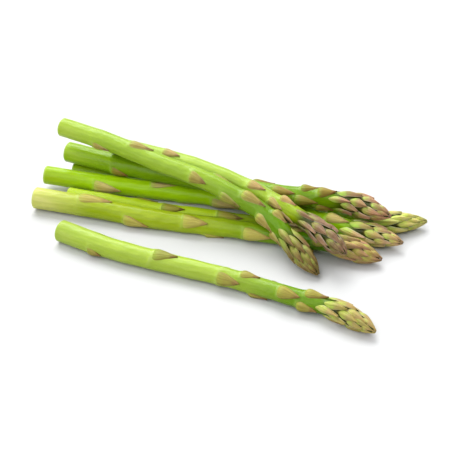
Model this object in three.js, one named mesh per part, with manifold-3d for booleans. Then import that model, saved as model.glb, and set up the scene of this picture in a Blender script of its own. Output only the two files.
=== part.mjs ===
// Bunch of eight trimmed green asparagus spears: seven heaped across one another and one lying
// in front. Millimetres, +Z up, the surface they lie on is z = 0, +X runs from the cut butts
// towards the buds. Each spear grew as one piece, so its stalk, scale leaves and bud are one body.
import * as THREE from 'three';
import { mergeVertices } from 'three/addons/utils/BufferGeometryUtils.js';
import Module from 'manifold-3d';

const wasm = await Module();
wasm.setup();

// ---- driving dimensions (mm, degrees) --------------------------------------------------------

const STALK_SIDES = 10;
const SIDE_GAIN = 1.03;        // the faceted section has the same area as the round one
const STALK_STEP = 19;         // distance between the stalk's cross-sections
const BUTT_BEVEL = 0.4;        // knocked-off rim of the cut end
const SWELL_RUN = 28;          // run over which the stalk widens into the bud
const TIP_RADIUS = 0.8;
const OGIVE = 0.85;            // fullness of the pointed end, below 1 is blunter
const CORE_SHARE = 0.76;       // radius of the bud's core as a share of its outline
const ROOT_DEPTH = 1.3;        // how far a scale leaf is sunk into what it grows from
const DIVERGENCE = 137.5;      // turn from one scale leaf to the next round the axis
const BUD_LEAVES = 18;
const BUD_CROWDING = 1.1;      // above 1 the bud's scale leaves crowd towards the tip
const LAST_LEAF = 1.5;         // distance of the last scale leaf's foot from the tip
const LEAF_GAP = 0.4;          // least distance kept between neighbouring spears
const JOIN_TOLERANCE = 0.03;   // edges shorter than this are closed up when bodies are joined

// path: points on the axis from cut end to tip. radius: at the butt, at the neck, at the bud.
// taper: length of the pointed end. bud: distance from the butt and angle of its first scale
// leaf, and the hand of its spiral. leaves: single scale leaves [distance from the butt, angle
// round the stalk, length, spread], the angle measured from straight up towards the front.
const SPEARS = [
  {
    name: 'spear_front', seed: 11, taper: 21, color: 0x86b32a,
    radius: { butt: 6.7, neck: 4.9, bud: 6.7 },
    bud: { start: 165.5, turn: 78, hand: -1 },
    path: [
      [-101.1, -11.2, 6.3], [-70.7, -28.5, 6.0], [-35.3, -43.2, 5.8], [0.4, -57.3, 5.8],
      [31.8, -72.9, 6.2], [62.4, -88.6, 6.1], [79.6, -104.4, 5.3],
    ],
    leaves: [
      [24, 112, 9, 40], [44, 250, 15, 45], [64.5, 5, 15, 56], [86, 205, 15, 45],
      [105.5, 72, 15, 54], [118.5, -8, 12, 44], [125, 150, 12, 40], [134, 262, 13, 42],
      [143, 38, 14, 46], [149, 200, 12, 40], [155, 106, 13, 42], [158, -12, 14, 42],
      [162, 240, 12, 42],
    ],
  },
  {
    name: 'spear_near', seed: 23, taper: 20, color: 0x9fb544,
    radius: { butt: 6.7, neck: 5.2, bud: 6.9 },
    bud: { start: 184.5, turn: -20, hand: 1 },
    path: [
      [-120.5, 22.9, 7.1], [-84.6, 13.2, 6.5], [-44.2, 1.6, 5.6], [-3.7, -6.9, 5.4],
      [32.0, -17.4, 6.5], [63.3, -27.7, 7.3], [89.6, -38.6, 5.0],
    ],
    leaves: [
      [29, -8, 22, 50], [60, 108, 16, 50], [77, 250, 16, 46], [96.5, 42, 16, 48],
      [110, 142, 12, 38], [120, 285, 15, 46], [134.5, 78, 18, 48], [147, 215, 14, 44],
      [157, -8, 14, 44], [164, 130, 14, 44], [171, 268, 13, 42], [177, 45, 14, 42],
    ],
  },
  {
    name: 'spear_hidden', seed: 37, taper: 18, color: 0x7ba826,
    radius: { butt: 4.8, neck: 4.5, bud: 5.6 },
    bud: { start: 130, turn: 80, hand: 1 },
    path: [
      [-100.7, 30.0, 4.4], [-71.1, 21.3, 4.3], [-41.4, 12.5, 4.3], [-10.9, 6.0, 4.1],
      [23.3, -2.8, 4.3], [44.3, -7.7, 5.4], [61.1, -11.4, 2.6],
    ],
    leaves: [
      [24, 200, 14, 46], [44, -60, 14, 46], [62, 24, 15, 50], [80, 175, 15, 46],
      [97, 28, 17, 48], [111, 250, 14, 44], [119, 120, 13, 44], [126, 0, 13, 42],
    ],
  },
  {
    name: 'spear_mid', seed: 41, taper: 24, color: 0x7fb01f,
    radius: { butt: 5.8, neck: 5.4, bud: 7.2 },
    bud: { start: 194, turn: 70, hand: -1 },
    path: [
      [-116.7, 45.1, 9.6], [-77.0, 38.6, 6.9], [-34.5, 30.7, 5.9], [8.8, 20.1, 6.1],
      [45.3, 6.7, 5.3], [73.0, -9.9, 6.5], [103.5, -23.6, 6.0],
    ],
    leaves: [
      [33, 92, 18, 52], [50, 235, 16, 46], [69, 0, 20, 48], [88, 180, 15, 46],
      [109, 106, 18, 46], [127, 262, 15, 46], [142, 40, 15, 44], [156, 170, 14, 44],
      [167, 300, 14, 44], [176, 75, 14, 42], [184, 15, 15, 40], [188, 215, 13, 42],
    ],
  },
  {
    name: 'spear_far', seed: 59, taper: 22, color: 0x84b030,
    radius: { butt: 6.0, neck: 5.3, bud: 6.6 },
    bud: { start: 193.5, turn: 143, hand: 1 },
    path: [
      [-99.9, 54.7, 5.6], [-60.5, 48.2, 5.4], [-17.8, 39.2, 5.3], [24.0, 27.6, 5.0],
      [60.4, 12.8, 5.1], [90.0, -1.2, 5.8], [120.8, 0.0, 5.1],
    ],
    leaves: [
      [34, 220, 17, 46], [56, 20, 17, 46], [82, 160, 16, 46], [104, 280, 16, 46],
      [124, 70, 15, 44], [142, 205, 14, 44], [156, -20, 14, 44], [167, 110, 14, 42],
      [176, 245, 13, 42], [184, 20, 13, 42],
    ],
  },
  {
    name: 'spear_back', seed: 67, taper: 20, color: 0x6f9c2a,
    radius: { butt: 6.5, neck: 5.4, bud: 7.1 },
    bud: { start: 171, turn: 56, hand: -1 },
    path: [
      [-103.0, 57.8, 18.9], [-68.4, 43.5, 18.2], [-31.4, 30.1, 18.3], [7.4, 17.4, 17.8],
      [40.6, 7.6, 18.4], [71.6, 1.4, 18.4], [96.4, -13.8, 18.0],
    ],
    leaves: [
      [34, 115, 11, 44], [58, 258, 16, 46], [84, 20, 16, 46], [112, 190, 15, 44],
      [124, 300, 14, 42], [137.5, 35, 15, 38], [146, 165, 13, 42], [152, 82, 14, 38],
      [154.5, -20, 12, 44], [158, 235, 12, 42], [164, 140, 12, 42], [165, 8, 12, 42],
    ],
  },
  {
    name: 'spear_over', seed: 73, taper: 17.5, color: 0x8dbb38,
    radius: { butt: 5.3, neck: 4.9, bud: 6.8 },
    bud: { start: 129, turn: 20, hand: 1 },
    path: [
      [-73.2, 47.4, 30.5], [-46.7, 36.1, 30.4], [-17.3, 22.0, 29.5], [12.8, 5.6, 25.4],
      [35.5, -11.9, 21.3], [52.3, -29.2, 19.8], [67.6, -47.8, 15.3],
    ],
    leaves: [
      [36, 12, 12, 46], [54, 215, 14, 46], [77, 95, 8, 36], [95, 15, 12, 44],
      [103, 235, 13, 42], [111.5, 62, 12, 40], [117, -14, 12, 38], [121, 110, 12, 38],
      [125, 215, 12, 42],
    ],
  },
  {
    name: 'spear_top', seed: 83, taper: 20, color: 0x8cb534,
    radius: { butt: 5.9, neck: 5.2, bud: 6.6 },
    bud: { start: 158.5, turn: 40, hand: 1 },
    path: [
      [-104.6, 53.6, 39.8], [-76.3, 39.2, 38.3], [-41.5, 21.0, 33.6], [-9.7, 5.4, 28.7],
      [21.5, -14.2, 20.1], [38.4, -34.7, 11.4], [51.7, -51.6, 3.8],
    ],
    leaves: [
      [26, 112, 12, 34], [49, -8, 16, 46], [66, 215, 15, 46], [93, 62, 12, 46],
      [104, 290, 14, 44], [115, 108, 15, 44], [127, 5, 17, 44], [134, 235, 14, 44],
      [142, 95, 16, 40], [148.5, -25, 11, 38], [151, 205, 13, 42], [156, 125, 11, 34],
    ],
  },
];

// ---- helpers -----------------------------------------------------------------------------------

const radians = THREE.MathUtils.degToRad;
const { clamp, lerp, smoothstep } = THREE.MathUtils;

/** Repeatable draws between -1 and 1. */
function draws(seed) {
  let state = seed;
  return () => {
    state = (state + 0x6d2b79f5) | 0;
    let mixed = Math.imul(state ^ (state >>> 15), state | 1);
    mixed ^= mixed + Math.imul(mixed ^ (mixed >>> 7), mixed | 61);
    return (((mixed ^ (mixed >>> 14)) >>> 0) / 4294967296) * 2 - 1;
  };
}

/** Closed geometry through rings of points, one fan at the root and one to the tip point. */
function loft(rings, tip) {
  const sides = rings[0].length;
  const points = rings.flat().concat([tip]);
  const faces = [];
  for (let ring = 0; ring < rings.length - 1; ring += 1) {
    for (let side = 0; side < sides; side += 1) {
      const a = ring * sides + side;
      const b = ring * sides + ((side + 1) % sides);
      faces.push(a, b, b + sides, a, b + sides, a + sides);
    }
  }
  for (let side = 0; side < sides - 2; side += 1) {
    faces.push(sides - 1, side + 1, side);
  }
  const last = (rings.length - 1) * sides;
  for (let side = 0; side < sides; side += 1) {
    faces.push(last + side, last + ((side + 1) % sides), points.length - 1);
  }
  const geometry = new THREE.BufferGeometry().setFromPoints(points);
  geometry.setIndex(faces);
  return geometry;
}

function toSolid(geometry) {
  const merged = mergeVertices(geometry, 1e-4);
  return new wasm.Manifold(new wasm.Mesh({
    numProp: 3,
    vertProperties: Float32Array.from(merged.attributes.position.array),
    triVerts: Uint32Array.from(merged.index.array),
    tolerance: JOIN_TOLERANCE,
  }));
}

/** The same solid with the small pockets sealed under its scale leaves filled. */
function outerShell(solid) {
  const shells = solid.decompose();
  return shells.reduce((largest, shell) => (shell.volume() > largest.volume() ? shell : largest));
}

function toGeometry(solid) {
  const mesh = solid.getMesh();
  const geometry = new THREE.BufferGeometry();
  geometry.setAttribute('position', new THREE.BufferAttribute(mesh.vertProperties, 3));
  geometry.setIndex(new THREE.BufferAttribute(mesh.triVerts, 1));
  return geometry;
}

// ---- the axis of a spear and its radii -----------------------------------------------------------

class Axis {
  constructor(spec) {
    const points = spec.path.map(([x, y, z]) => new THREE.Vector3(x, y, z));
    this.spec = spec;
    this.curve = new THREE.CatmullRomCurve3(points, false, 'centripetal');
    this.length = this.curve.getLength();
    this.samples = [];
    for (let s = 0; s <= this.length; s += 2) {
      this.samples.push({ center: this.curve.getPointAt(s / this.length), outline: this.outline(s) });
    }
  }

  /** Radius of the bare stalk, widest at the butt. */
  stalk(s) {
    const { butt, neck } = this.spec.radius;
    return lerp(butt, neck, clamp(s / (this.length - this.spec.taper - SWELL_RUN), 0, 1));
  }

  /** Radius over the scale leaves: the stalk, then the swelling bud, then its pointed end. */
  outline(s) {
    const { neck, bud } = this.spec.radius;
    const fromTip = this.length - s;
    if (fromTip < this.spec.taper) {
      const rise = Math.sin((Math.PI / 2) * Math.max(fromTip / this.spec.taper, 0));
      return TIP_RADIUS + (bud - TIP_RADIUS) * Math.pow(rise, OGIVE);
    }
    const swell = 1 - smoothstep(fromTip, this.spec.taper, this.spec.taper + SWELL_RUN);
    return this.stalk(s) + (bud - neck) * swell;
  }

  /** Radius of what the scale leaves grow from: the stalk, then the slimmer core of the bud. */
  core(s) {
    const packed = 1 - smoothstep(this.length - s, this.spec.taper, this.spec.taper + 10);
    return lerp(this.stalk(s), Math.max(this.outline(s) * CORE_SHARE, 0.6), packed);
  }

  /** Point at a distance from the butt, an angle round the axis and a radius. */
  point(s, angle, radius) {
    const u = clamp(s / this.length, 0, 1);
    const along = this.curve.getTangentAt(u);
    const up = new THREE.Vector3(0, 0, 1).addScaledVector(along, -along.z).normalize();
    const front = along.clone().cross(up);
    return this.curve.getPointAt(u)
      .addScaledVector(up, radius * Math.cos(radians(angle)))
      .addScaledVector(front, radius * Math.sin(radians(angle)));
  }

  /** Distance from a point to this spear's outline. */
  distance(point) {
    let nearest = Infinity;
    for (const { center, outline } of this.samples) {
      nearest = Math.min(nearest, center.distanceTo(point) - outline);
    }
    return nearest;
  }
}

const axes = SPEARS.map((spec) => new Axis(spec));

/** A point standing out of its own spear, drawn back where a neighbour lies close. */
function clearPoint(axis, s, angle, radius) {
  const point = axis.point(s, angle, radius);
  const out = radius - axis.outline(s);
  if (out <= 0) return point;
  const room = Math.min(...axes.filter((other) => other !== axis).map((other) => other.distance(point)));
  const kept = clamp((out + room - LEAF_GAP) / 2, 0, out);
  return axis.point(s, angle, axis.outline(s) + kept);
}

// ---- the pieces of a spear ---------------------------------------------------------------------

/** The stalk runs on inside the bud as its core. */
function stalkGeometry(axis) {
  const rings = [];
  const stations = [0, BUTT_BEVEL];
  for (let s = STALK_STEP / 2; s < axis.length - 4; s += STALK_STEP) stations.push(s);
  stations.push(axis.length - 4);
  for (const s of stations) {
    const radius = axis.core(s) * SIDE_GAIN - (s === 0 ? BUTT_BEVEL : 0);
    const ring = [];
    for (let side = 0; side < STALK_SIDES; side += 1) {
      ring.push(axis.point(s, (side * 360) / STALK_SIDES, radius));
    }
    rings.push(ring);
  }
  return loft(rings, axis.point(axis.length - 1, 0, 0));
}

/**
 * One scale leaf: a pointed plate wrapped round the axis, thickest along its middle.
 * rows: [share of the length, share of the spread, height of the middle, height of the edges],
 * heights above the core.
 */
function leafGeometry(axis, start, angle, length, spread, rows, tipHeight) {
  const rings = rows.map(([along, width, middle, edge]) => {
    const s = Math.min(start + along * length, axis.length - 0.5);
    const ring = [-1, 0, 1].map((share) => {
      const height = lerp(middle, edge, share * share);
      return clearPoint(axis, s, angle + share * width * spread, axis.core(s) + height);
    });
    const root = Math.max(axis.core(s) - ROOT_DEPTH, 0.3);
    ring.push(axis.point(s, angle + 0.8 * width * spread, root));
    ring.push(axis.point(s, angle - 0.8 * width * spread, root));
    return ring;
  });
  const end = Math.min(start + length, axis.length);
  return loft(rings, clearPoint(axis, end, angle, axis.core(end) + tipHeight));
}

/** A single leaf on the stalk: raised ridge at its base, swollen by the bud under it. */
function stalkLeaf(axis, [start, angle, length, spread]) {
  const swelling = 0.3 + 1.1 * smoothstep(start, axis.length * 0.45, axis.length - 45);
  const rows = [
    [0, 1, 0.6, 0.2],
    [0.45, 0.78, 0.65 + swelling, 0.3],
  ];
  return leafGeometry(axis, start, angle, length, spread, rows, 0.4);
}

/** A leaf packed in the bud: a plump back with sunk sides, its tip over the feet of the next. */
function budLeaf(axis, start, angle, length, spread) {
  const middle = Math.min(start + 0.5 * length, axis.length);
  const lift = axis.outline(middle) - axis.core(middle);
  const rows = [
    [0, 0.9, 0.5 * lift, -0.3],
    [0.5, 1, lift + 0.3, 0],
  ];
  const end = Math.min(start + length, axis.length);
  return leafGeometry(axis, start, angle, length, spread, rows, axis.outline(end) - axis.core(end));
}

/** The bud's scale leaves wind up the axis by the golden angle. */
function budLeaves(axis) {
  const { start, turn, hand } = axis.spec.bud;
  const draw = draws(axis.spec.seed);
  const run = axis.length - LAST_LEAF - start;
  return Array.from({ length: BUD_LEAVES }, (_, index) => {
    const share = index / BUD_LEAVES;
    const foot = start + run * (1 - Math.pow(1 - share, BUD_CROWDING));
    const angle = turn + hand * DIVERGENCE * index + 5 * draw();
    const length = lerp(14, 7, share) * (1 + 0.1 * draw());
    return budLeaf(axis, foot, angle, length, lerp(42, 56, share));
  });
}

function spearSolid(axis) {
  let solid = toSolid(stalkGeometry(axis));
  for (const leaf of axis.spec.leaves.map((sizes) => stalkLeaf(axis, sizes)).concat(budLeaves(axis))) {
    solid = solid.add(toSolid(leaf));
  }
  return outerShell(solid.trimByPlane([0, 0, 1], 0));
}

// ---- the bunch ------------------------------------------------------------------------------------

const bunch = new THREE.Group();
for (const axis of axes) {
  const mesh = new THREE.Mesh(
    toGeometry(spearSolid(axis)),
    new THREE.MeshStandardMaterial({ color: axis.spec.color, roughness: 0.45, metalness: 0 }),
  );
  mesh.name = axis.spec.name;
  bunch.add(mesh);
}

const box = new THREE.Box3().setFromObject(bunch);
bunch.position.set(-(box.min.x + box.max.x) / 2, -(box.min.y + box.max.y) / 2, 0);

export default bunch;
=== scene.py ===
import math

import bpy
import numpy as np
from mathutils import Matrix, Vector


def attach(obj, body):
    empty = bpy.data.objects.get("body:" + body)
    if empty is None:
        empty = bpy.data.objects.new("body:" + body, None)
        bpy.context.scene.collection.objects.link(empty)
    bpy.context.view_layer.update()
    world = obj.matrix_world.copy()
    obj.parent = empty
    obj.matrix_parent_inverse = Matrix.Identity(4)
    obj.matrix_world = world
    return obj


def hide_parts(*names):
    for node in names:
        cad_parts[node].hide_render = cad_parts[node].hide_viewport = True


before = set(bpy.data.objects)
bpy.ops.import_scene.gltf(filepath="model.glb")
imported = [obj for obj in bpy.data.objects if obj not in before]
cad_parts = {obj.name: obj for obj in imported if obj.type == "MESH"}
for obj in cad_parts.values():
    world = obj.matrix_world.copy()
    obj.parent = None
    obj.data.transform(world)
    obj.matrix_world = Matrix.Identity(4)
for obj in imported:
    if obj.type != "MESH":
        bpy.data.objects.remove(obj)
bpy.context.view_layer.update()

MM = 0.001


# ---- The table, the light and the camera ----------------------------------------------------
# A light grey sweep, lit up to white by three large soft panels, at the front left, behind and at
# the back right, in a dark room with a bluish wall behind the heap. The camera has a long lens.

CAMERA_ELEVATION = math.radians(35.5)
CAMERA_DISTANCE = 0.77606      # from the point aimed at, metres
CAMERA_LENS = 100
SENSOR_WIDTH = 36
AIM = (0.00065, 0.02035, -0.0004)

camera_data = bpy.data.cameras.new("camera")
camera_data.lens = CAMERA_LENS
camera_data.sensor_width = SENSOR_WIDTH
camera = bpy.data.objects.new("camera", camera_data)
camera.location = (
    AIM[0],
    AIM[1] - math.cos(CAMERA_ELEVATION) * CAMERA_DISTANCE,
    AIM[2] + math.sin(CAMERA_ELEVATION) * CAMERA_DISTANCE,
)
camera.rotation_euler = (math.pi / 2 - CAMERA_ELEVATION, 0, 0)
bpy.context.collection.objects.link(camera)
bpy.context.scene.camera = camera

TABLE_SIZE = 12.0
TABLE_GREY = 0.55

bpy.ops.mesh.primitive_plane_add(size=TABLE_SIZE)
table = bpy.context.object
table.name = "table"
table_finish = bpy.data.materials.new("grey_sweep")
table_finish.use_nodes = True
table_shader = table_finish.node_tree.nodes["Principled BSDF"]
table_shader.inputs["Base Color"].default_value = (TABLE_GREY, TABLE_GREY, TABLE_GREY, 1)
table_shader.inputs["Roughness"].default_value = 0.9
table_shader.inputs["Specular IOR Level"].default_value = 0.0
table.data.materials.append(table_finish)


def soft_panel(name, direction, spread, strength):
    """Far panel light: the direction it stands in, the angle it covers, degrees, its power."""
    data = bpy.data.lights.new(name, "SUN")
    data.angle = math.radians(spread)
    data.energy = strength
    panel = bpy.data.objects.new(name, data)
    panel.rotation_mode = "QUATERNION"
    panel.rotation_quaternion = Vector(direction).to_track_quat("Z", "Y")
    bpy.context.collection.objects.link(panel)


soft_panel("front_left_panel", (-0.52, -0.42, 0.74), 75, 3.0)
soft_panel("back_panel", (-0.2, 0.6, 0.8), 46, 3.7)
soft_panel("back_right_panel", (0.6, 0.5, 0.6), 60, 1.0)

ROOM_DARK, WALL_BRIGHT = 0.08, 0.5
WALL_COLOR = (0.85, 0.93, 1, 1)
WALL_FADE = (-0.3, 0.7)        # from in front of the heap to behind it, as a direction's y

walls = bpy.data.worlds.new("room_walls")
walls.use_nodes = True
room = walls.node_tree
toward = room.nodes.new("ShaderNodeTexCoord")
split = room.nodes.new("ShaderNodeSeparateXYZ")
fade = room.nodes.new("ShaderNodeMapRange")
fade.interpolation_type = "SMOOTHSTEP"
fade.inputs["From Min"].default_value, fade.inputs["From Max"].default_value = WALL_FADE
fade.inputs["To Min"].default_value = ROOM_DARK
fade.inputs["To Max"].default_value = WALL_BRIGHT
background = room.nodes["Background"]
background.inputs["Color"].default_value = WALL_COLOR
room.links.new(toward.outputs["Generated"], split.inputs["Vector"])
room.links.new(split.outputs["Y"], fade.inputs["Value"])
room.links.new(fade.outputs["Result"], background.inputs["Strength"])
bpy.context.scene.world = walls
bpy.context.scene.view_settings.view_transform = "Standard"


# ---- Stalks ---------------------------------------------------------------------------------
# Firm round stems, each cut off square at the butt, a little thinner towards the bud. The skin
# is smooth, waxy and faintly fibrous lengthwise, and it rises into a pale ridge under every
# scale leaf.

HEAP_CENTRE = np.array([0.654, 20.626, 0.0])    # added to the points of the axes, mm
STALK_AROUND = 56              # points round a stalk
STALK_STEP = 0.9               # between its rings, mm
STALK_END = 2.0                # short of the spear's tip, mm
COVERED_RUN = 12               # over which the bud's leaves close over the stalk, mm
BUTT_BEVEL = 0.7
SWELL_RUN = 28.0               # over which the neck widens into the bud, mm
TIP_RADIUS = 0.8
OGIVE = 0.85                   # how blunt the pointed end is
CORE_SHARE = 0.68              # of the bud's radius, under its scale leaves
LEAST_CORE = 0.6
CURVE_POINTS = 1600
RIDGE_HEIGHT = 0.42
RIDGE_RUNS = (0.9, 2.6)        # before and behind its crest, mm
RIDGE_DIP = 2.2                # along the stalk, a quarter of the way round from the leaf, mm
FULL_CLASP = 54                # leaves with a half spread from here clasp right round
NODE_SWELL = 0.22              # of the stalk at each leaf, mm

# path: the axis from the cut end to the tip, mm. radius: at the butt, at the neck, at the bud.
# taper: length of the pointed end. bud: distance from the butt and angle of its first scale
# leaf, and the hand of its spiral. leaves: the single ones along the stalk, as distance from
# the butt, angle from straight up towards the front, length and half spread in degrees.
SPEARS = {
    "spear_front": {
        "seed": 11, "radius": (6.7, 4.9, 6.7), "taper": 21, "bud": (165.5, 78, -1),
        "path": [
            (-101.1, -11.2, 6.3), (-70.7, -28.5, 6.0), (-35.3, -43.2, 5.8), (0.4, -57.3, 5.8),
            (31.8, -72.9, 6.2), (62.4, -88.6, 6.1), (79.6, -104.4, 5.3),
        ],
        "leaves": [
            (24, 112, 9, 40), (44, 250, 15, 45), (64.5, 5, 15, 56), (86, 205, 15, 45),
            (105.5, 72, 15, 54), (118.5, -8, 12, 44), (125, 150, 12, 40), (134, 262, 13, 42),
            (143, 38, 14, 46), (149, 200, 12, 40), (155, 106, 13, 42), (158, -12, 14, 42),
            (162, 240, 12, 42),
        ],
    },
    "spear_near": {
        "seed": 23, "radius": (6.7, 5.2, 6.9), "taper": 20, "bud": (184.5, -20, 1),
        "path": [
            (-120.5, 22.9, 7.1), (-84.6, 13.2, 6.5), (-44.2, 1.6, 5.6), (-3.7, -6.9, 5.4),
            (32.0, -17.4, 6.5), (63.3, -27.7, 7.3), (89.6, -38.6, 5.0),
        ],
        "leaves": [
            (29, -8, 22, 50), (60, 108, 16, 50), (77, 250, 16, 46), (96.5, 42, 16, 48),
            (110, 142, 12, 38), (120, 285, 15, 46), (134.5, 78, 18, 48), (147, 215, 14, 44),
            (157, -8, 14, 44), (164, 130, 14, 44), (171, 268, 13, 42), (177, 45, 14, 42),
        ],
    },
    "spear_hidden": {
        "seed": 37, "radius": (4.8, 4.5, 5.6), "taper": 18, "bud": (130, 80, 1),
        "path": [
            (-100.7, 30.0, 4.4), (-71.1, 21.3, 4.3), (-41.4, 12.5, 4.3), (-10.9, 6.0, 4.1),
            (23.3, -2.8, 4.3), (44.3, -7.7, 5.4), (61.1, -11.4, 2.6),
        ],
        "leaves": [
            (24, 200, 14, 46), (44, -60, 14, 46), (62, 24, 15, 50), (80, 175, 15, 46),
            (97, 28, 17, 48), (111, 250, 14, 44), (119, 120, 13, 44), (126, 0, 13, 42),
        ],
    },
    "spear_mid": {
        "seed": 41, "radius": (5.8, 5.4, 7.2), "taper": 24, "bud": (194, 70, -1),
        "path": [
            (-116.7, 45.1, 9.6), (-77.0, 38.6, 6.9), (-34.5, 30.7, 5.9), (8.8, 20.1, 6.1),
            (45.3, 6.7, 5.3), (73.0, -9.9, 6.5), (103.5, -23.6, 6.0),
        ],
        "leaves": [
            (33, 92, 18, 52), (50, 235, 16, 46), (69, 0, 20, 48), (88, 180, 15, 46),
            (109, 106, 18, 46), (127, 262, 15, 46), (142, 40, 15, 44), (156, 170, 14, 44),
            (167, 300, 14, 44), (176, 75, 14, 42), (184, 15, 15, 40), (188, 215, 13, 42),
        ],
    },
    "spear_far": {
        "seed": 59, "radius": (6.0, 5.3, 6.6), "taper": 22, "bud": (193.5, 143, 1),
        "path": [
            (-99.9, 54.7, 5.6), (-60.5, 48.2, 5.4), (-17.8, 39.2, 5.3), (24.0, 27.6, 5.0),
            (60.4, 12.8, 5.1), (90.0, -1.2, 5.8), (120.8, 0.0, 5.1),
        ],
        "leaves": [
            (34, 220, 17, 46), (56, 20, 17, 46), (82, 160, 16, 46), (104, 280, 16, 46),
            (124, 70, 15, 44), (142, 205, 14, 44), (156, -20, 14, 44), (167, 110, 14, 42),
            (176, 245, 13, 42), (184, 20, 13, 42),
        ],
    },
    "spear_back": {
        "seed": 67, "radius": (6.5, 5.4, 7.1), "taper": 20, "bud": (171, 56, -1),
        "path": [
            (-103.0, 57.8, 18.9), (-68.4, 43.5, 18.2), (-31.4, 30.1, 18.3), (7.4, 17.4, 17.8),
            (40.6, 7.6, 18.4), (71.6, 1.4, 18.4), (96.4, -13.8, 18.0),
        ],
        "leaves": [
            (34, 115, 11, 44), (58, 258, 16, 46), (84, 20, 16, 46), (112, 190, 15, 44),
            (124, 300, 14, 42), (137.5, 35, 15, 38), (146, 165, 13, 42), (152, 82, 14, 38),
            (154.5, -20, 12, 44), (158, 235, 12, 42), (164, 140, 12, 42), (165, 8, 12, 42),
        ],
    },
    "spear_over": {
        "seed": 73, "radius": (5.3, 4.9, 6.8), "taper": 17.5, "bud": (129, 20, 1),
        "path": [
            (-73.2, 47.4, 30.5), (-46.7, 36.1, 30.4), (-17.3, 22.0, 29.5), (12.8, 5.6, 25.4),
            (35.5, -11.9, 21.3), (52.3, -29.2, 19.8), (67.6, -47.8, 15.3),
        ],
        "leaves": [
            (36, 12, 12, 46), (54, 215, 14, 46), (77, 95, 8, 36), (95, 15, 12, 44),
            (103, 235, 13, 42), (111.5, 62, 12, 40), (117, -14, 12, 38), (121, 110, 12, 38),
            (125, 215, 12, 42),
        ],
    },
    "spear_top": {
        "seed": 83, "radius": (5.9, 5.2, 6.6), "taper": 20, "bud": (158.5, 40, 1),
        "path": [
            (-104.6, 53.6, 39.8), (-76.3, 39.2, 38.3), (-41.5, 21.0, 33.6), (-9.7, 5.4, 28.7),
            (21.5, -14.2, 20.1), (38.4, -34.7, 11.4), (51.7, -51.6, 3.8),
        ],
        "leaves": [
            (26, 112, 12, 34), (49, -8, 16, 46), (66, 215, 15, 46), (93, 62, 12, 46),
            (104, 290, 14, 44), (115, 108, 15, 44), (127, 5, 17, 44), (134, 235, 14, 44),
            (142, 95, 16, 40), (148.5, -25, 11, 38), (151, 205, 13, 42), (156, 125, 11, 34),
        ],
    },
}


def smooth(value, low, high):
    """0 below low, 1 above high, eased between them."""
    share = np.clip((np.asarray(value, float) - low) / (high - low), 0, 1)
    return share * share * (3 - 2 * share)


def hump(value, middle, width):
    """1 at the middle, falling off to 0 over about twice the width."""
    return np.exp(-(((value - middle) / width) ** 2))


class Axis:
    """The middle line of one spear, in millimetres, and its radii along it."""

    def __init__(self, spec):
        points = np.array(spec["path"], float) + HEAP_CENTRE
        self.butt, self.neck, self.bud = spec["radius"]
        self.bud_start = spec["bud"][0]
        self.taper = spec["taper"]
        self.line = self._curve(points, CURVE_POINTS)
        steps = np.linalg.norm(np.diff(self.line, axis=0), axis=1)
        self.run = np.concatenate([[0], np.cumsum(steps)])
        self.length = self.run[-1]
        self.heading = np.gradient(self.line, self.run, axis=0)

    @staticmethod
    def _curve(points, count):
        """Centripetal Catmull-Rom curve through the points."""
        before, after = 2 * points[0] - points[1], 2 * points[-1] - points[-2]
        padded = np.vstack([before, points, after])
        place = np.linspace(0, len(points) - 1, count)
        piece = np.minimum(place.astype(int), len(points) - 2)
        t = (place - piece)[:, None]
        p0, p1, p2, p3 = (padded[piece + k] for k in range(4))
        pairs = ((p0, p1), (p1, p2), (p2, p3))
        d0, d1, d2 = (np.sqrt(np.linalg.norm(b - a, axis=1))[:, None] for a, b in pairs)
        m1 = ((p1 - p0) / d0 - (p2 - p0) / (d0 + d1) + (p2 - p1) / d1) * d1
        m2 = ((p2 - p1) / d1 - (p3 - p1) / (d1 + d2) + (p3 - p2) / d2) * d1
        rise = p2 - p1
        return p1 + m1 * t + (3 * rise - 2 * m1 - m2) * t**2 + (m1 + m2 - 2 * rise) * t**3

    def stalk(self, s):
        """Radius of the bare stalk, widest at the butt."""
        share = np.clip(s / (self.length - self.taper - SWELL_RUN), 0, 1)
        return self.butt + (self.neck - self.butt) * share

    def outline(self, s):
        """Radius over the scale leaves: the stalk, the swelling bud and its pointed end."""
        from_tip = np.maximum(self.length - s, 0)
        rise = np.sin(np.pi / 2 * np.minimum(from_tip / self.taper, 1))
        pointed = TIP_RADIUS + (self.bud - TIP_RADIUS) * rise**OGIVE
        swell = 1 - smooth(from_tip, self.taper, self.taper + SWELL_RUN)
        swollen = self.stalk(s) + (self.bud - self.neck) * swell
        return np.where(from_tip < self.taper, pointed, swollen)

    def core(self, s):
        """Radius of what the scale leaves grow from."""
        packed = 1 - smooth(self.length - s, self.taper, self.taper + 10)
        slim = np.maximum(self.outline(s) * CORE_SHARE, LEAST_CORE)
        return self.stalk(s) * (1 - packed) + slim * packed

    def point(self, s, angle, radius):
        """Points at a distance from the butt, an angle from straight up towards the front."""
        s = np.clip(s, 0, self.length)
        centre = np.stack([np.interp(s, self.run, self.line[:, k]) for k in range(3)], -1)
        along = np.stack([np.interp(s, self.run, self.heading[:, k]) for k in range(3)], -1)
        along /= np.linalg.norm(along, axis=-1, keepdims=True)
        up = np.array([0, 0, 1.0]) - along * along[..., 2:3]
        up /= np.linalg.norm(up, axis=-1, keepdims=True)
        front = np.cross(along, up)
        angle = np.radians(angle)[..., None]
        radius = np.asarray(radius)[..., None]
        placed = centre + radius * (up * np.cos(angle) + front * np.sin(angle))
        placed[..., 2] = np.maximum(placed[..., 2], 0)
        return placed


axes = {spear: Axis(spec) for spear, spec in SPEARS.items()}


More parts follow.
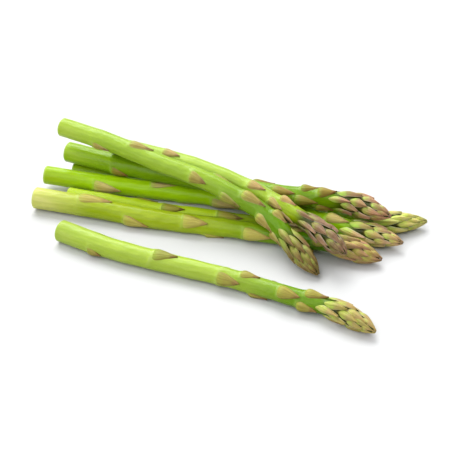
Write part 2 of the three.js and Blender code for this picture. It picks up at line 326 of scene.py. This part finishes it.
def grid_faces(rows, columns, closed, first=0):
    """Quads over a grid of points, facing out when columns run round towards the front."""
    faces = []
    for row in range(rows - 1):
        for column in range(columns if closed else columns - 1):
            a = first + row * columns + column
            b = first + row * columns + (column + 1) % columns
            faces.append((a, b, b + columns, a + columns))
    return faces


def unrolled(angle, radius, s):
    """Straightened place on the spear, in metres, that the surface effects are laid out on."""
    turn = np.radians(angle)
    return np.stack([radius * np.cos(turn), radius * np.sin(turn), s], -1).reshape(-1, 3) * MM


def make_piece(name, node, points, faces, values, finish):
    """A mesh in metres that stands for a CAD node, with its surface values on its points."""
    mesh = bpy.data.meshes.new(name)
    mesh.from_pydata((np.asarray(points) * MM).tolist(), [], faces)
    for value_name, numbers in values.items():
        numbers = np.asarray(numbers, np.float32)
        if numbers.ndim == 2:
            attribute = mesh.attributes.new(value_name, "FLOAT_VECTOR", "POINT")
            attribute.data.foreach_set("vector", numbers.ravel())
        else:
            attribute = mesh.attributes.new(value_name, "FLOAT", "POINT")
            attribute.data.foreach_set("value", numbers)
    mesh.materials.append(finish)
    mesh.shade_smooth()
    piece = bpy.data.objects.new(name, mesh)
    bpy.context.collection.objects.link(piece)
    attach(piece, "root")
    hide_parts(node)


def turned(angle, middle):
    """Difference of two angles, between -180 and 180 degrees."""
    return (angle - middle + 180) % 360 - 180


def stalk_surface(axis, spec, s, angle):
    """Radius of the living skin, and how far each point lies on a leaf's pale ridge."""
    rng = np.random.default_rng(spec["seed"])
    phase = rng.uniform(0, 2 * np.pi, 6)
    turn = np.radians(angle)
    uneven = 0.05 * np.sin(11 * turn + phase[0] + 0.02 * s) * np.sin(s / 19 + phase[1])
    uneven = uneven + 0.08 * np.sin(2 * turn + s / 31 + phase[2])
    uneven = uneven + 0.08 * np.sin(s / 8.5 + phase[3]) * np.sin(turn + phase[4])
    radius = axis.core(s) + uneven * smooth(s, 0, 8)
    ridge = np.zeros_like(radius)
    for start, middle, length, spread in spec["leaves"]:
        away = turned(angle, middle)
        side = np.sign(np.sin(start))    # the ridge climbs round some nodes, dips round others
        foot = start - 0.3 - RIDGE_DIP * (away / 90) ** 2 * side
        reach = spread * 1.5 if spread < FULL_CLASP else 170
        clasp = 1 - smooth(np.abs(away), spread * 0.6, reach)
        ridge = np.maximum(ridge, hump(s, foot, np.where(s < foot, *RIDGE_RUNS)) * clasp)
        radius = radius + NODE_SWELL * hump(s, start + 1.5, 5.0)
        above = hump(s, start + 0.4 * length, 0.42 * length) * hump(away, 0, spread * 0.8)
        hollow = hump(s, start + length + 3, 8.0) * hump(away, 0, 30)
        radius = radius + 0.2 * above - 0.25 * hollow
    return radius + RIDGE_HEIGHT * ridge, ridge


def skin_effects():
    """Node group: lengthwise fibres, cloudy patches, fine pale specks and slight dents."""
    group = bpy.data.node_groups.new("waxy_skin", "ShaderNodeTree")
    face = group.interface
    face.new_socket("Place", in_out="INPUT", socket_type="NodeSocketVector")
    for value in ("Fibres", "Clouds", "Specks", "Dents"):
        face.new_socket(value, in_out="OUTPUT", socket_type="NodeSocketFloat")
    nodes, links = group.nodes, group.links
    start, end = nodes.new("NodeGroupInput"), nodes.new("NodeGroupOutput")

    def noise(stretch, scale, detail):
        mapping = nodes.new("ShaderNodeMapping")
        mapping.inputs["Scale"].default_value = stretch
        links.new(start.outputs["Place"], mapping.inputs["Vector"])
        texture = nodes.new("ShaderNodeTexNoise")
        texture.inputs["Scale"].default_value = scale
        texture.inputs["Detail"].default_value = detail
        links.new(mapping.outputs["Vector"], texture.inputs["Vector"])
        return texture.outputs["Fac"]

    links.new(noise((1, 1, 0.05), 800, 3), end.inputs["Fibres"])
    links.new(noise((1, 1, 0.3), 150, 4), end.inputs["Clouds"])
    links.new(noise((1, 1, 0.45), 330, 1), end.inputs["Dents"])
    dots = nodes.new("ShaderNodeTexVoronoi")
    dots.inputs["Scale"].default_value = 900
    links.new(start.outputs["Place"], dots.inputs["Vector"])
    small = nodes.new("ShaderNodeMapRange")
    small.inputs["From Min"].default_value = 0.2
    small.inputs["From Max"].default_value = 0.08
    links.new(dots.outputs["Distance"], small.inputs["Value"])
    links.new(small.outputs["Result"], end.inputs["Specks"])
    return group


WAXY_SKIN = skin_effects()


def new_finish(name):
    """A material, its node tree and its shader."""
    finish = bpy.data.materials.new(name)
    finish.use_nodes = True
    return finish, finish.node_tree, finish.node_tree.nodes["Principled BSDF"]


def surface_value(tree, name, output):
    """Output of a node that reads one of the piece's own surface values."""
    node = tree.nodes.new("ShaderNodeAttribute")
    node.attribute_name = name
    return node.outputs[output]


def laid_effects(tree, group):
    """The effects of a node group, laid out on the piece's straightened place."""
    node = tree.nodes.new("ShaderNodeGroup")
    node.node_tree = group
    tree.links.new(surface_value(tree, "place", "Vector"), node.inputs["Place"])
    return node.outputs


def blend_color(tree, share, low, high, kind="MIX"):
    """A colour mix node. share, low and high are sockets or plain values."""
    mix = tree.nodes.new("ShaderNodeMix")
    mix.data_type = "RGBA"
    mix.blend_type = kind
    for input_name, value in (("Factor", share), ("A", low), ("B", high)):
        socket = mix.inputs[input_name]
        if isinstance(value, bpy.types.NodeSocket):
            tree.links.new(value, socket)
        else:
            socket.default_value = value
    return mix.outputs["Result"]


def ramp(tree, value, stops):
    """A colour ramp over a 0 to 1 value; stops are (place, colour)."""
    node = tree.nodes.new("ShaderNodeValToRGB")
    bands = node.color_ramp.elements
    while len(bands) < len(stops):
        bands.new(0.5)
    for band, (place, color) in zip(bands, stops):
        band.position = place
        band.color = color
    tree.links.new(value, node.inputs["Fac"])
    return node.outputs["Color"]


def mask(tree, value, low, high, most=1.0):
    """0 where the value is below low, rising to most where it is above high."""
    node = tree.nodes.new("ShaderNodeMapRange")
    node.interpolation_type = "SMOOTHSTEP"
    node.inputs["From Min"].default_value = low
    node.inputs["From Max"].default_value = high
    node.inputs["To Max"].default_value = most
    tree.links.new(value, node.inputs["Value"])
    return node.outputs["Result"]


def add_bump(tree, shader, height, distance, strength=1.0, under=None):
    """Fine relief on the shader's normal, over another bump's normal if given."""
    bump = tree.nodes.new("ShaderNodeBump")
    bump.inputs["Strength"].default_value = strength
    bump.inputs["Distance"].default_value = distance
    tree.links.new(height, bump.inputs["Height"])
    if under is not None:
        tree.links.new(under, bump.inputs["Normal"])
    tree.links.new(bump.outputs["Normal"], shader.inputs["Normal"])
    return bump.outputs["Normal"]


def daylight(red, green, blue):
    """A colour as seen on a display, 0 to 255, as the linear colour that a shader takes."""
    shares = np.array([red, green, blue]) / 255
    linear = np.where(shares <= 0.04045, shares / 12.92, ((shares + 0.055) / 1.055) ** 2.4)
    return (*linear.tolist(), 1)


def soft_flesh(shader, weight):
    """Light enters the wet flesh a little way, less in blue than in green and red."""
    shader.inputs["Subsurface Weight"].default_value = weight
    shader.inputs["Subsurface Radius"].default_value = (0.9, 1.0, 0.2)
    shader.inputs["Subsurface Scale"].default_value = 0.002


FIBRE_TINT = (0.92, 0.95, 0.86, 1)
CLOUD_TINT = (1.1, 1.05, 1.35, 1)
SPECK_COLOR = daylight(172, 186, 108)
RIDGE_COLOR = daylight(171, 184, 106)
BUTT_RIM_COLOR = daylight(168, 182, 106)
PAINTED_BUD_SHADE = daylight(52, 59, 9)
SKIN_ROUGHNESS = (0.2, 0.36)   # where it is waxy, where the wax is rubbed


def skin_finish(name, pale, body, deep):
    """Skin of one spear: pale at the butt, fresh green along it, painted shade under the bud's
    leaves.
    """
    finish, tree, shader = new_finish(name)
    effects = laid_effects(tree, WAXY_SKIN)
    along = surface_value(tree, "along", "Fac")
    ridge = surface_value(tree, "ridge", "Fac")

    color = ramp(tree, along, [(0.0, pale), (0.18, body), (0.5, body), (0.75, deep)])
    darker = blend_color(tree, 1.0, color, FIBRE_TINT, "MULTIPLY")
    color = blend_color(tree, mask(tree, effects["Fibres"], 0.36, 0.64), darker, color)
    lighter = blend_color(tree, 1.0, color, CLOUD_TINT, "MULTIPLY")
    color = blend_color(tree, mask(tree, effects["Clouds"], 0.5, 0.72), color, lighter)
    color = blend_color(tree, mask(tree, effects["Specks"], 0, 1, 0.2), color, SPECK_COLOR)
    color = blend_color(tree, mask(tree, ridge, 0.25, 1.0, 0.25), color, RIDGE_COLOR)
    color = blend_color(tree, mask(tree, along, 0.008, 0.0, 0.5), color, BUTT_RIM_COLOR)
    # painted shade: the stalk is darkened where the bud's leaves cover it
    color = blend_color(tree, surface_value(tree, "covered", "Fac"), color, PAINTED_BUD_SHADE)
    tree.links.new(color, shader.inputs["Base Color"])

    rough = tree.nodes.new("ShaderNodeMapRange")
    rough.inputs["To Min"].default_value, rough.inputs["To Max"].default_value = SKIN_ROUGHNESS
    tree.links.new(effects["Clouds"], rough.inputs["Value"])
    tree.links.new(rough.outputs["Result"], shader.inputs["Roughness"])
    dents = add_bump(tree, shader, effects["Dents"], 0.0006)
    add_bump(tree, shader, effects["Fibres"], 0.00016, under=dents)
    shader.inputs["Specular IOR Level"].default_value = 0.1
    shader.inputs["Coat Weight"].default_value = 0.12
    shader.inputs["Coat Roughness"].default_value = 0.15
    soft_flesh(shader, 0.2)
    return finish


# Pale butt, body and deep colours of each skin.
SKINS = {
    "spear_front": (daylight(150, 172, 61), daylight(153, 176, 59), daylight(98, 134, 1)),
    "spear_near": (daylight(193, 194, 103), daylight(150, 169, 26), daylight(88, 132, 2)),
    "spear_hidden": (daylight(176, 199, 39), daylight(170, 196, 26), daylight(129, 154, 23)),
    # painted light: spear_mid's colours are lighter than its own green, making up for the shade it
    # lies in under the spears above it
    "spear_mid": (daylight(148, 177, 23), daylight(163, 205, 12), daylight(138, 182, 9)),
    "spear_far": (daylight(141, 173, 15), daylight(121, 159, 10), daylight(111, 143, 13)),
    "spear_back": (daylight(143, 172, 35), daylight(122, 158, 13), daylight(104, 138, 1)),
    # painted light: spear_over's deep colour is lightened where its neck lies in shade
    "spear_over": (daylight(169, 185, 96), daylight(152, 178, 62), daylight(135, 158, 7)),
    "spear_top": (daylight(154, 178, 55), daylight(142, 171, 47), daylight(93, 131, 1)),
}

for spear, axis in axes.items():
    end = axis.length - STALK_END
    stations = np.concatenate([[0.0, 0.2, BUTT_BEVEL], np.arange(1.2, end, STALK_STEP), [end]])
    angles = np.arange(STALK_AROUND) * 360 / STALK_AROUND
    s, angle = np.meshgrid(stations, angles, indexing="ij")
    radius, ridge = stalk_surface(axis, SPEARS[spear], s, angle)
    radius = radius - BUTT_BEVEL * (1 - np.clip(s / BUTT_BEVEL, 0, 1)) ** 1.6
    points = axis.point(s, angle, radius).reshape(-1, 3)
    faces = grid_faces(len(stations), STALK_AROUND, closed=True)
    last = (len(stations) - 1) * STALK_AROUND
    faces.append(tuple(range(last, last + STALK_AROUND)))
    # share of the stalk closed over by the bud's leaves, which gets painted shade there
    covered = smooth(s, axis.bud_start, axis.bud_start + COVERED_RUN)
    values = {
        "place": unrolled(angle, radius, s), "along": (s / axis.length).ravel(),
        "ridge": ridge.ravel(), "covered": covered.ravel(),
    }
    finish = skin_finish(spear + "_skin", *SKINS[spear])
    make_piece(spear + "_stalk", spear, points, faces, values, finish)


# ---- Cut ends -------------------------------------------------------------------------------
# The flat face where the knife went through: pale wet flesh with a darker rim of skin and a
# scatter of tiny fibre bundles.

CUT_RINGS = 12
CUT_DEPTH = 0.12               # the middle is dished in by this, mm
INNER_RING = 0.08              # of the rim's radius


def cut_flesh():
    """Pale flesh that darkens to the rim of skin, with spots where the fibre bundles end."""
    finish, tree, shader = new_finish("cut_flesh")
    color = ramp(tree, surface_value(tree, "out", "Fac"), [
        (0.0, daylight(174, 182, 122)), (0.55, daylight(168, 178, 112)),
        (0.86, daylight(150, 168, 84)), (0.97, daylight(122, 151, 52)),
    ])
    bundles = tree.nodes.new("ShaderNodeTexVoronoi")
    bundles.inputs["Scale"].default_value = 1100
    tree.links.new(surface_value(tree, "place", "Vector"), bundles.inputs["Vector"])
    spots = mask(tree, bundles.outputs["Distance"], 0.3, 0.1)
    color = blend_color(tree, spots, color, daylight(136, 151, 73))
    tree.links.new(color, shader.inputs["Base Color"])
    add_bump(tree, shader, bundles.outputs["Distance"], 0.0002, 0.4)
    shader.inputs["Roughness"].default_value = 0.4
    soft_flesh(shader, 0.2)
    return finish


cut_finish = cut_flesh()

for spear, axis in axes.items():
    angles = np.arange(STALK_AROUND) * 360 / STALK_AROUND
    rim = stalk_surface(axis, SPEARS[spear], np.zeros_like(angles), angles)[0] - BUTT_BEVEL
    share, angle = np.meshgrid(np.linspace(1, INNER_RING, CUT_RINGS), angles, indexing="ij")
    radius = rim * share
    depth = CUT_DEPTH * (1 - share**4)
    points = axis.point(depth, angle, radius).reshape(-1, 3)
    faces = grid_faces(CUT_RINGS, STALK_AROUND, closed=True)
    faces = [face[::-1] for face in faces]
    last = (CUT_RINGS - 1) * STALK_AROUND
    faces.append(tuple(range(last, last + STALK_AROUND))[::-1])
    values = {"place": unrolled(angle, radius, depth), "out": share.ravel()}
    make_piece(spear + "_cut", spear, points, faces, values, cut_finish)


# ---- Scale leaves along the stalks ----------------------------------------------------------
# Thin pointed leaves pressed to the stalk, each grown from the pale ridge that clasps it. Low
# down they are flat triangles; higher up a side bud under each one makes it plump.

LEAF_ROWS = 18
LEAF_COLUMNS = 13
LEAF_GAP = 0.35                # least distance kept from the other spears, mm
LEAF_THICKNESS = 0.45
LEAF_WIDENING = 1.1            # of the half spreads given for each spear


def room_round(own, points):
    """Distance from each point to the nearest other spear, in millimetres."""
    nearest = np.full(len(points), np.inf)
    for spear, axis in axes.items():
        if spear == own:
            continue
        sparse = slice(0, None, 12)
        centres, reach = axis.line[sparse], axis.outline(axis.run[sparse])
        gaps = np.linalg.norm(points[:, None] - centres[None], axis=2) - reach[None]
        nearest = np.minimum(nearest, gaps.min(1))
    return nearest


def leaf_shell(spear, seat, width_rule, height_rule, thickness, tone):
    """
    Closed shell of one leaf: its outer skin, then its inner skin a thickness below.
    seat: start, middle angle, length, half spread, and how far the tip leans round. The rules
    take the share of the length q and, for the height over the core, the place across a, from
    -1 to 1, and the distance s.
    """
    axis = axes[spear]
    start, middle, length, half_spread, lean = seat
    rows, columns = np.linspace(0, 1, LEAF_ROWS), np.linspace(-1, 1, LEAF_COLUMNS)
    q, a = np.meshgrid(rows, columns, indexing="ij")
    s = start + q * length
    angle = middle + a * width_rule(q) * half_spread + lean * q**2
    outline = axis.outline(s)
    outer = axis.core(s) + height_rule(q, a, s)
    proud = np.maximum(outer - outline, 0)
    room = room_round(spear, axis.point(s, angle, outer).reshape(-1, 3)).reshape(q.shape)
    kept = np.minimum(proud, np.maximum((proud + room - LEAF_GAP) / 2, 0))
    outer = np.where(proud > 0, outline + kept, outer)
    inner = outer - thickness * (1 - 0.6 * np.abs(a) ** 3)

    size = q.size
    outside = grid_faces(LEAF_ROWS, LEAF_COLUMNS, closed=False)
    faces = outside + [tuple(i + size for i in face[::-1]) for face in outside]
    ids = np.arange(size).reshape(q.shape)
    border = np.concatenate([ids[0, :-1], ids[:-1, -1], ids[-1, :0:-1], ids[:0:-1, 0]]).tolist()
    for i, j in zip(border, border[1:] + border[:1]):
        faces.append((j, i, i + size, j + size))
    points = np.vstack([axis.point(s, angle, radius).reshape(-1, 3) for radius in (outer, inner)])
    leaf = np.stack([a, q, np.full_like(a, tone)], -1).reshape(-1, 3)
    # how far each point lies under the bud's outline, where painted shade is laid; the inner skin
    # gets it all over
    sunk = np.clip((outline - outer) / 2.0, 0, 1).ravel()
    return {
        "points": points, "faces": faces, "leaf": np.vstack([leaf, leaf]),
        "sunk": np.concatenate([sunk, np.ones(size)]),
        "place": np.vstack([unrolled(angle, radius, s + 37 * tone) for radius in (outer, inner)]),
    }


def join_shells(shells):
    """Several leaf shells as one list of points, faces and surface values."""
    faces = []
    first = 0
    for shell in shells:
        faces += [tuple(i + first for i in face) for face in shell["faces"]]
        first += len(shell["points"])
    points = np.vstack([shell["points"] for shell in shells])
    kinds = ("leaf", "sunk", "place")
    values = {kind: np.concatenate([shell[kind] for shell in shells]) for kind in kinds}
    return points, faces, values


def leaf_effects():
    """Node group: lengthwise veins and dry blotches of a scale leaf, and its papery rim."""
    group = bpy.data.node_groups.new("papery_leaf", "ShaderNodeTree")
    face = group.interface
    face.new_socket("Leaf", in_out="INPUT", socket_type="NodeSocketVector")
    face.new_socket("Place", in_out="INPUT", socket_type="NodeSocketVector")
    for value in ("Veins", "Blotches", "Rim", "Along", "Tone"):
        face.new_socket(value, in_out="OUTPUT", socket_type="NodeSocketFloat")
    nodes, links = group.nodes, group.links
    start, end = nodes.new("NodeGroupInput"), nodes.new("NodeGroupOutput")
    veins = nodes.new("ShaderNodeTexNoise")
    veins.inputs["Scale"].default_value = 1.0
    veins.inputs["Detail"].default_value = 2
    spread = nodes.new("ShaderNodeMapping")
    spread.inputs["Scale"].default_value = (7, 1.2, 60)
    links.new(start.outputs["Leaf"], spread.inputs["Vector"])
    links.new(spread.outputs["Vector"], veins.inputs["Vector"])
    links.new(veins.outputs["Fac"], end.inputs["Veins"])
    blotches = nodes.new("ShaderNodeTexNoise")
    blotches.inputs["Scale"].default_value = 420
    blotches.inputs["Detail"].default_value = 3
    links.new(start.outputs["Place"], blotches.inputs["Vector"])
    links.new(blotches.outputs["Fac"], end.inputs["Blotches"])
    split = nodes.new("ShaderNodeSeparateXYZ")
    links.new(start.outputs["Leaf"], split.inputs["Vector"])
    across = nodes.new("ShaderNodeMath")
    across.operation = "ABSOLUTE"
    links.new(split.outputs["X"], across.inputs[0])
    links.new(across.outputs["Value"], end.inputs["Rim"])
    links.new(split.outputs["Y"], end.inputs["Along"])
    links.new(split.outputs["Z"], end.inputs["Tone"])
    return group


PAPERY_LEAF = leaf_effects()


BLOTCH_SHIFT = 0.44            # how far blotches move the bands of colour along a leaf
VEIN_TINT = (0.78, 0.74, 0.64, 1)
GREEN_TINT = (0.72, 1.0, 0.6, 1)


def leaf_finish(name, bands, rim, rim_start, crest, sunk_shade):
    """
    Leaf skin: bands of colour from foot to tip, shifted by blotches, with veins.
    rim_start: where across the leaf the rim's colour starts. crest: how much of the last band
    but one runs down its middle, partly the leaf's own tan and partly a painted highlight on its
    bulging crest. The last colour is painted shade, laid on the sides that lie under other
    leaves and over the leaf's underside.
    """
    finish, tree, shader = new_finish(name)
    effects = laid_effects(tree, PAPERY_LEAF)
    leaf = effects["Veins"].node
    tree.links.new(surface_value(tree, "leaf", "Vector"), leaf.inputs["Leaf"])

    shifted = tree.nodes.new("ShaderNodeMath")
    shifted.operation = "MULTIPLY_ADD"
    tree.links.new(effects["Blotches"], shifted.inputs[0])
    shifted.inputs[1].default_value = BLOTCH_SHIFT
    tree.links.new(effects["Along"], shifted.inputs[2])
    half = BLOTCH_SHIFT / 2
    stops = [(half + (1 - half) * place, band) for place, band in bands]
    color = ramp(tree, shifted.outputs["Value"], stops)
    # partly the leaf's own tan, partly a painted highlight down its bulging crest
    crest_tan_and_sheen = mask(tree, effects["Rim"], 0.6, 0.0, crest)
    color = blend_color(tree, crest_tan_and_sheen, color, bands[-2][1])
    deeper = blend_color(tree, 1.0, color, VEIN_TINT, "MULTIPLY")
    color = blend_color(tree, mask(tree, effects["Veins"], 0.34, 0.6), deeper, color)
    greener = blend_color(tree, 1.0, color, GREEN_TINT, "MULTIPLY")
    color = blend_color(tree, mask(tree, effects["Tone"], 0.45, 1.0, 0.6), color, greener)
    color = blend_color(tree, mask(tree, effects["Rim"], rim_start, 1.0, 0.8), color, rim)
    # painted shade on the sunk sides and the underside of the leaf
    sunk = mask(tree, surface_value(tree, "sunk", "Fac"), 0.6, 1.0)
    color = blend_color(tree, sunk, color, sunk_shade)
    tree.links.new(color, shader.inputs["Base Color"])

    shader.inputs["Roughness"].default_value = 0.42
    shader.inputs["Specular IOR Level"].default_value = 0.22
    add_bump(tree, shader, effects["Veins"], 0.0004)
    soft_flesh(shader, 0.12)
    return finish


def round_foot(q, run):
    """Rises from 0 at the foot to 1 at q = run, steeply at first, like the end of a bean."""
    return np.sqrt(np.maximum(1 - (1 - np.clip(q / run, 0, 1)) ** 2, 0))


# Foot, flesh, blush, tip and rim of the leaves along each stalk.
STALK_LEAVES = {
    "spear_front": (
        daylight(150, 159, 59), daylight(149, 149, 55), daylight(151, 142, 59),
        daylight(137, 108, 54), daylight(122, 90, 44),
    ),
    "spear_near": (
        daylight(166, 174, 73), daylight(176, 172, 73), daylight(182, 172, 83),
        daylight(169, 140, 83), daylight(147, 116, 64),
    ),
    "spear_hidden": (
        daylight(130, 159, 41), daylight(149, 154, 48), daylight(157, 151, 56),
        daylight(115, 93, 42), daylight(113, 95, 44),
    ),
    "spear_mid": (
        daylight(180, 191, 88), daylight(189, 187, 90), daylight(201, 183, 111),
        daylight(178, 151, 94), daylight(176, 176, 96),
    ),
    "spear_far": (
        daylight(146, 171, 54), daylight(153, 163, 52), daylight(165, 159, 67),
        daylight(147, 123, 64), daylight(122, 100, 48),
    ),
    "spear_back": (
        daylight(133, 165, 39), daylight(140, 140, 46), daylight(149, 130, 54),
        daylight(141, 104, 52), daylight(122, 93, 46),
    ),
    "spear_over": (
        daylight(168, 182, 86), daylight(170, 154, 80), daylight(183, 151, 96),
        daylight(157, 116, 79), daylight(182, 170, 113),
    ),
    "spear_top": (
        daylight(154, 171, 63), daylight(156, 151, 64), daylight(158, 143, 71),
        daylight(129, 102, 52), daylight(174, 170, 100),
    ),
}

for spear, axis in axes.items():
    rng = np.random.default_rng(SPEARS[spear]["seed"] + 500)
    foot, flesh, blush, tip, rim = STALK_LEAVES[spear]
    finish = leaf_finish(
        spear + "_leaf",
        [(0.0, foot), (0.2, flesh), (0.45, blush), (0.8, blush), (1.0, tip)],
        # the skin's deep colour is laid on as painted shade under each stalk leaf
        rim, rim_start=0.68, crest=0.1, sunk_shade=SKINS[spear][2],
    )
    shells = []
    for start, middle, length, spread in SPEARS[spear]["leaves"]:
        plump = float(smooth(start, axis.length * 0.45, axis.length - 45))
        curl = (0.15 + 0.4 * rng.random()) * (1 + plump)

        def width(q, plump=plump):
            triangle = 1 - q**1.35
            bean = (0.55 + 0.45 * round_foot(q, 0.3)) * (1 - np.clip((q - 0.2) / 0.8, 0, 1) ** 1.3)
            return np.maximum(triangle * (1 - plump) + bean * plump, 0.02)

        def height(q, a, s, plump=plump, curl=curl):
            side_bud = 1.1 * (1 + plump) * round_foot(q, 0.22) * (1 - 0.85 * smooth(q, 0.2, 1))
            return 0.4 + side_bud * (1 - a**2) - 0.38 * np.abs(a) ** 2.5 + curl * q**4

        seat = (start, middle, length, spread * LEAF_WIDENING, 8 * rng.uniform(-1, 1))
        shells.append(leaf_shell(spear, seat, width, height, LEAF_THICKNESS, rng.random()))
    points, faces, values = join_shells(shells)
    make_piece(spear + "_leaves", spear, points, faces, values, finish)


# ---- Buds -----------------------------------------------------------------------------------
# The tight pointed head: plump scale leaves wound up the axis by the golden angle, each with
# its tip over the feet of the next ones, shorter and closer together towards the tip.

DIVERGENCE = 137.5             # degrees from each leaf to the next
BUD_LEAVES = 24
BUD_CROWDING = 1.15
LAST_LEAF = 7                  # from its foot to the tip, mm
BUD_LEAF_LENGTHS = (17, 14)    # of the first and the last, mm
BUD_LEAF_SPREADS = (30, 42)    # half spreads of the same, degrees
BUD_LEAF_THICKNESS = 0.4
TIP_MARGIN = 0.4               # kept clear at the very tip, mm
# painted shade on the sides of bud leaves that lie under other leaves
BUD_SUNK_SHADE = daylight(67, 64, 20)

# Foot, flesh, blush, tip and papery rim of the leaves in each bud.
BUD_COLORS = {
    "spear_front": (
        daylight(178, 189, 86), daylight(167, 169, 79), daylight(173, 148, 95),
        daylight(182, 155, 91), daylight(198, 188, 133),
    ),
    "spear_near": (
        daylight(179, 185, 86), daylight(176, 164, 80), daylight(174, 145, 89),
        daylight(179, 134, 105), daylight(205, 177, 132),
    ),
    "spear_hidden": (
        daylight(134, 145, 59), daylight(128, 123, 56), daylight(137, 106, 64),
        daylight(158, 123, 86), daylight(168, 138, 97),
    ),
    "spear_mid": (
        daylight(186, 211, 96), daylight(177, 183, 89), daylight(193, 163, 108),
        daylight(191, 155, 121), daylight(206, 204, 156),
    ),
    "spear_far": (
        daylight(188, 212, 87), daylight(185, 198, 84), daylight(204, 190, 110),
        daylight(207, 204, 126), daylight(207, 212, 162),
    ),
    "spear_back": (
        daylight(171, 195, 84), daylight(157, 154, 82), daylight(171, 132, 95),
        daylight(171, 124, 99), daylight(197, 173, 142),
    ),
    "spear_over": (
        daylight(147, 154, 76), daylight(131, 115, 71), daylight(128, 98, 73),
        daylight(157, 124, 96), daylight(186, 168, 144),
    ),
    "spear_top": (
        daylight(147, 157, 65), daylight(131, 136, 55), daylight(136, 118, 64),
        daylight(125, 97, 58), daylight(163, 152, 93),
    ),
}

for spear, axis in axes.items():
    rng = np.random.default_rng(SPEARS[spear]["seed"] + 900)
    foot, flesh, blush, tip, rim = BUD_COLORS[spear]
    finish = leaf_finish(
        spear + "_bud",
        [(0.0, foot), (0.38, foot), (0.58, flesh), (0.78, blush), (1.0, tip)],
        rim, rim_start=0.74, crest=0.5, sunk_shade=BUD_SUNK_SHADE,
    )
    bud_start, turn, hand = SPEARS[spear]["bud"]
    run = axis.length - LAST_LEAF - bud_start
    shells = []
    for index in range(BUD_LEAVES):
        share = index / BUD_LEAVES
        start = bud_start + run * (1 - (1 - share) ** BUD_CROWDING)
        length = np.interp(share, (0, 1), BUD_LEAF_LENGTHS) * (1 + 0.15 * rng.uniform(-1, 1))
        length = min(length, axis.length - start - TIP_MARGIN)
        middle = turn + hand * DIVERGENCE * index + 8 * rng.uniform(-1, 1)
        bulge = 0.7 * (1 - share) ** 2 * (1 + 0.4 * rng.uniform(-1, 1))

        def width(q, share=share):
            pointed = 1 - np.clip((q - 0.25) / 0.75, 0, 1) ** (1.3 + share)
            return pointed * (0.5 + 0.5 * round_foot(q, 0.3)) + 0.01

        def height(q, a, s, bulge=bulge, share=share):
            swell = axis.outline(s) - axis.core(s)
            tucked = smooth(share, 0.0, 0.35)
            rise = round_foot(q, 0.45) * (1 - tucked) + smooth(q, -0.05, 0.6) * tucked
            spine = (swell + 0.5) * rise - 0.5 + bulge * hump(q, 0.45, 0.25)
            lifted = 0.5 * (1 - share) ** 2 * smooth(q, 0.4, 1)
            keel = 0.2 * hump(a, 0, 0.3) * smooth(q, 0.2, 0.6) * smooth(axis.length - s, 1, 8)
            slimmer = 0.15 * smooth(s, axis.length - 7, axis.length)
            return spine + lifted + keel - slimmer - (1.7 - 0.7 * share) * np.abs(a) ** 1.7

        half_spread = np.interp(share, (0, 1), BUD_LEAF_SPREADS)
        seat = (start, middle, length, half_spread, 10 * rng.uniform(-1, 1))
        shells.append(leaf_shell(spear, seat, width, height, BUD_LEAF_THICKNESS, rng.random()))
    points, faces, values = join_shells(shells)
    make_piece(spear + "_bud", spear, points, faces, values, finish)
